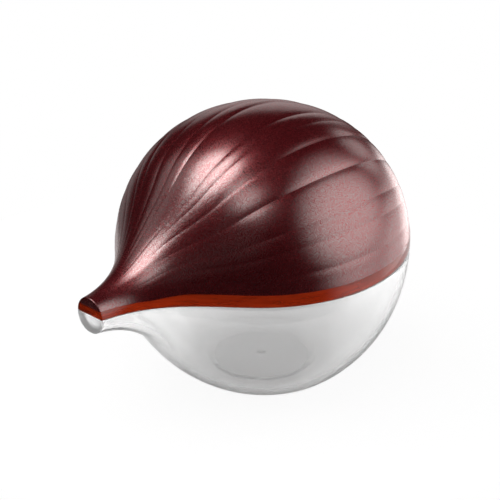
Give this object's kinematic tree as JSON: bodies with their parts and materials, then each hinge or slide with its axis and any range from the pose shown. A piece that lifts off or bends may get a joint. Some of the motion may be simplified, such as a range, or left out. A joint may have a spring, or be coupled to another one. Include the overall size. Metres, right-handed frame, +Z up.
{
  "type": "onion keeper",
  "caption": "Onion-shaped food keeper lying on a flat foot: a clear bowl and a ridged dome lid that lifts off, parting on the plane of the stem.",
  "frame": {"origin": "middle of the flat foot, on the table", "axes": "+Z up out of the open bowl, +X from the bulb to the stem, +Y to the bulb's side"},
  "size_m": [0.1501, 0.114, 0.1094],
  "materials": {
    "pearl_coated_lid": "satin pearl coat over tinted plastic",
    "clear_bowl": "clear, polished"
  },
  "bodies": {
    "bowl": {"bowl": "clear_bowl"},
    "lid": {"lid": "pearl_coated_lid"}
  },
  "joints": [
    {"name": "lid_lift", "type": "slide", "parent": "bowl", "child": "lid", "axis": [0, 0, 1], "range_m": [0, 0.09]}
  ]
}
